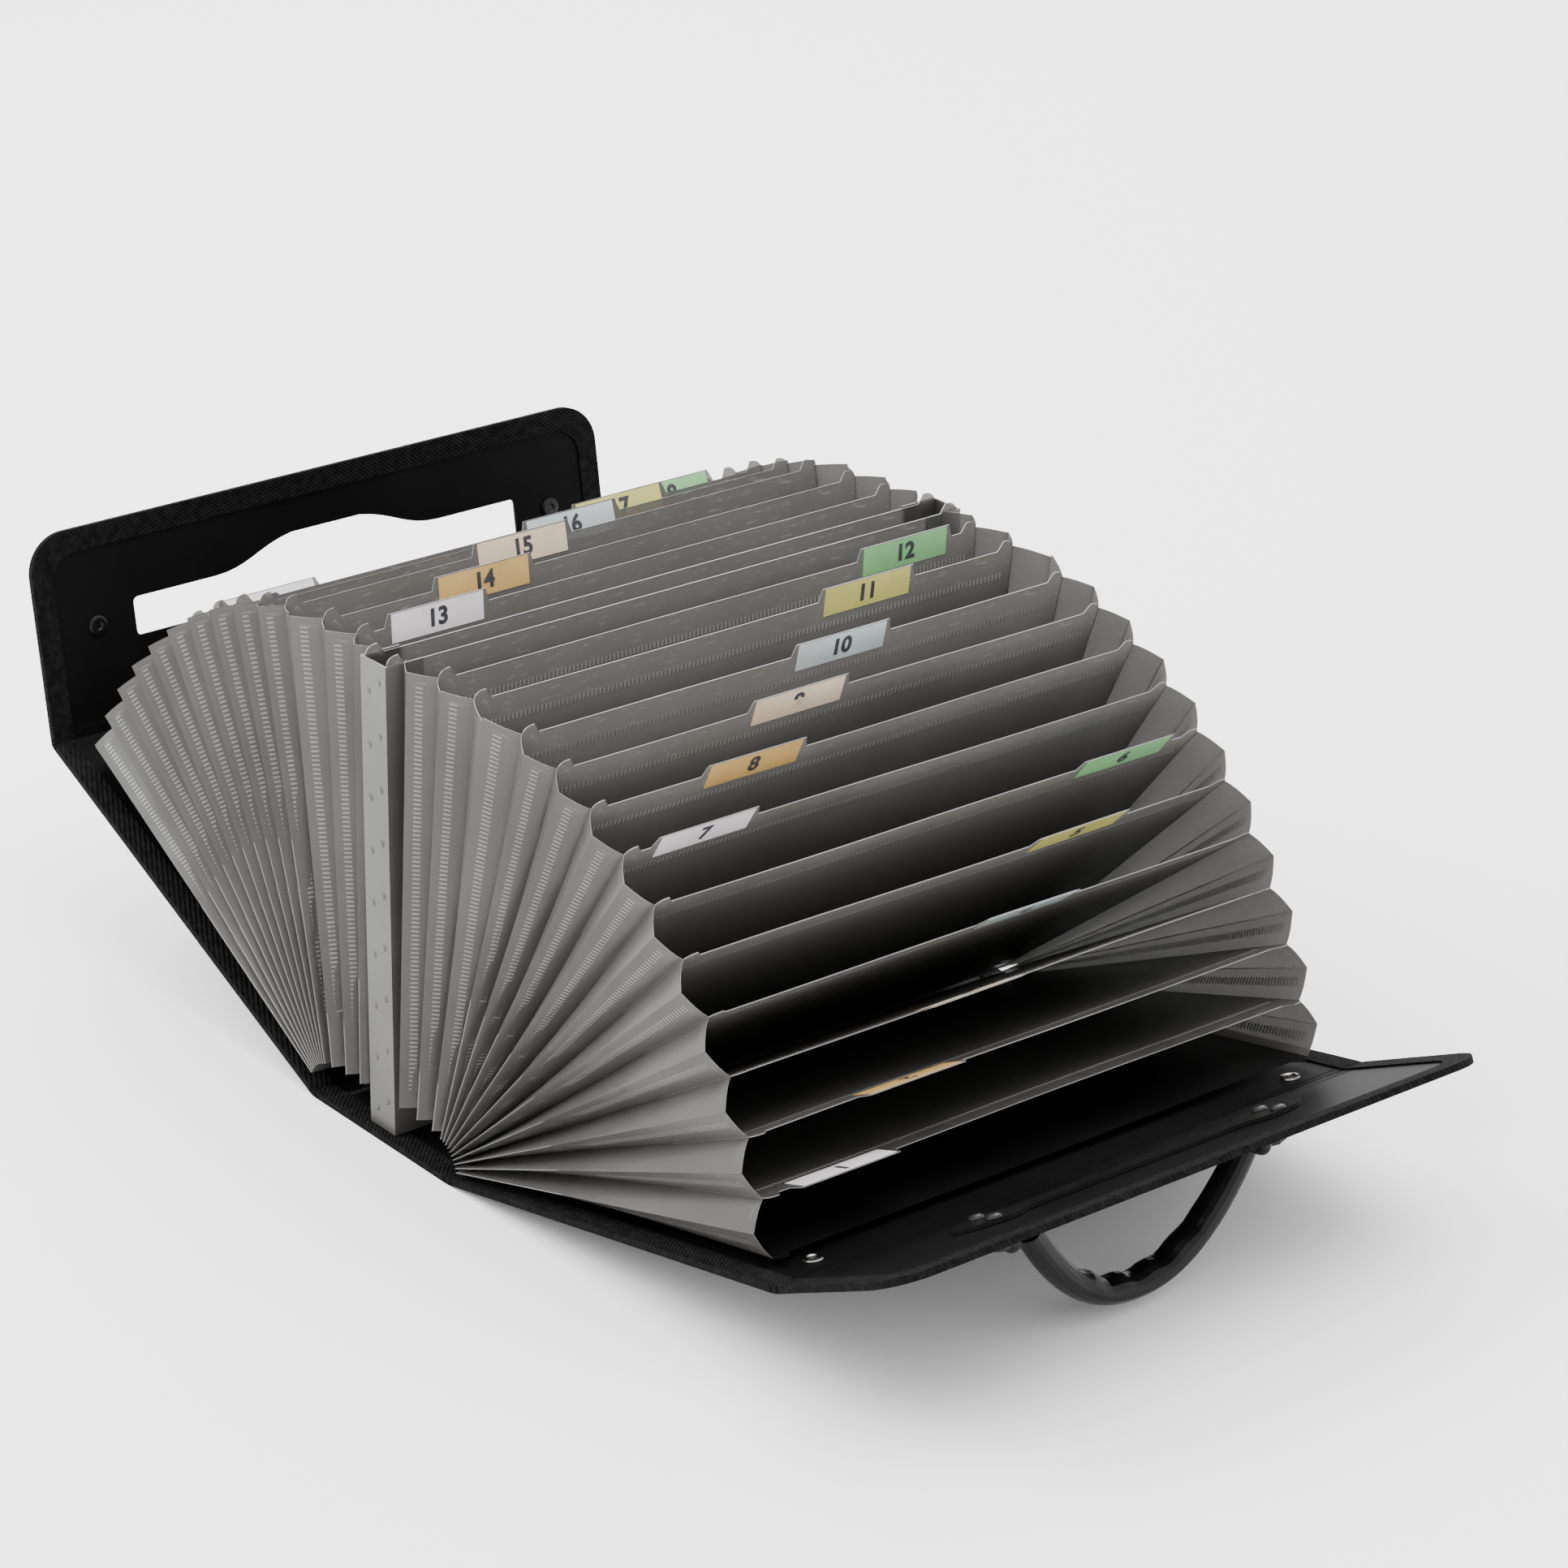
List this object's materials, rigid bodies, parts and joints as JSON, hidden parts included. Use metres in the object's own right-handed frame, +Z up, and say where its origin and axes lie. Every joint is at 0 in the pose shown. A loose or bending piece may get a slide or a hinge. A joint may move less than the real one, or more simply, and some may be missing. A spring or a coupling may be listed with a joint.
{
  "type": "expanding document case",
  "caption": "Expanding document case standing open: fans of film pockets either side of an open-topped box pocket, in a bound cover with a slotted flap and a carrying handle.",
  "frame": {"origin": "bottom centre of the open case", "axes": "+X runs along the expansion from the slotted flap to the handle flap, +Y along the width, +Z up"},
  "size_m": [0.6476, 0.33, 0.2345],
  "materials": {
    "cover_sheet": "leather grained outside, smooth inside",
    "binding_tape": "herringbone twill tape, sewn",
    "smoke_film": "frosted smoke film",
    "silver_film": "silver grey sheet with weld dimples",
    "black_plastic": "satin moulded",
    "nickel": "plated",
    "elastic_cord": "braided elastic"
  },
  "bodies": {
    "base": {"cover_spine": "cover_sheet", "binding_spine_near": "binding_tape", "binding_spine_far": "binding_tape", "box_end_near": "silver_film", "box_end_far": "silver_film", "box_wall_front": "silver_film", "box_wall_back": "silver_film", "box_floor": "silver_film", "divider_front_01": "smoke_film", "divider_front_02": "smoke_film", "divider_front_03": "smoke_film", "divider_front_04": "smoke_film", "divider_front_05": "smoke_film", "divider_front_06": "smoke_film", "divider_front_07": "smoke_film", "divider_front_08": "smoke_film", "divider_front_09": "smoke_film", "divider_front_10": "smoke_film", "divider_front_11": "smoke_film", "divider_front_12": "smoke_film", "divider_back_01": "smoke_film", "divider_back_02": "smoke_film", "divider_back_03": "smoke_film", "divider_back_04": "smoke_film", "divider_back_05": "smoke_film", "divider_back_06": "smoke_film", "divider_back_07": "smoke_film", "divider_back_08": "smoke_film", "divider_back_09": "smoke_film", "divider_back_10": "smoke_film", "divider_back_11": "smoke_film", "divider_back_12": "smoke_film"},
    "back_panel": {"cover_back": "cover_sheet", "binding_back_near": "binding_tape", "binding_back_far": "binding_tape", "lining_back": "smoke_film"},
    "front_panel": {"cover_front": "cover_sheet", "binding_front_near": "binding_tape", "binding_front_far": "binding_tape", "lining_front": "smoke_film", "eyelet_near": "nickel", "eyelet_far": "nickel", "elastic_loop_near": "elastic_cord", "elastic_loop_far": "elastic_cord"},
    "outer_flap": {"outer_flap": "cover_sheet", "binding_outer_flap": "binding_tape", "button_near": "black_plastic", "button_far": "black_plastic"},
    "inner_flap": {"inner_flap": "cover_sheet", "binding_inner_flap": "binding_tape", "handle_strip": "black_plastic", "rivet_near_a": "nickel", "rivet_near_b": "nickel", "rivet_far_a": "nickel", "rivet_far_b": "nickel", "handle_mount_near": "black_plastic", "handle_mount_far": "black_plastic"},
    "handle": {"handle_grip": "black_plastic"}
  },
  "joints": [
    {"name": "back_panel_hinge", "type": "hinge", "parent": "base", "child": "back_panel", "pos_m": [-0.08767, 0, 0.0016], "axis": [0, 1, 0], "range_deg": [0, 68.6], "deforming": ["divider_back_01", "divider_back_02", "divider_back_03", "divider_back_04", "divider_back_05", "divider_back_06", "divider_back_07", "divider_back_08", "divider_back_09", "divider_back_10", "divider_back_11", "divider_back_12", "lining_back"]},
    {"name": "front_panel_hinge", "type": "hinge", "parent": "base", "child": "front_panel", "pos_m": [0.01834, 0, 0.0016], "axis": [0, -1, 0], "range_deg": [0, 80.4], "deforming": ["divider_front_01", "divider_front_02", "divider_front_03", "divider_front_04", "divider_front_05", "divider_front_06", "divider_front_07", "divider_front_08", "divider_front_09", "divider_front_10", "divider_front_11", "divider_front_12", "lining_front"]},
    {"name": "outer_flap_hinge", "type": "hinge", "parent": "back_panel", "child": "outer_flap", "pos_m": [-0.30552, 0, 0.09768], "axis": [0, 1, 0], "range_deg": [-56.7, 30.9], "deforming": ["divider_back_01", "divider_back_02", "divider_back_03", "divider_back_04", "divider_back_05", "divider_back_06", "divider_back_07", "divider_back_08", "divider_back_09", "divider_back_10", "divider_back_11", "divider_back_12", "lining_back"]},
    {"name": "inner_flap_hinge", "type": "hinge", "parent": "front_panel", "child": "inner_flap", "pos_m": [0.24771, 0, 0.05035], "axis": [0, -1, 0], "range_deg": [0, 74.1], "deforming": ["divider_front_01", "divider_front_02", "divider_front_03", "divider_front_04", "divider_front_05", "divider_front_06", "divider_front_07", "divider_front_08", "divider_front_09", "divider_front_10", "divider_front_11", "divider_front_12", "lining_front"]},
    {"name": "handle_hinge", "type": "hinge", "parent": "inner_flap", "child": "handle", "pos_m": [0.28195, 0, 0.05755], "axis": [0, -1, 0], "range_deg": [-34.5, 85.5]}
  ],
  "couplings": [
    {"joint": "inner_flap_hinge", "follows": "front_panel_hinge", "ratio": 0.92164}
  ]
}
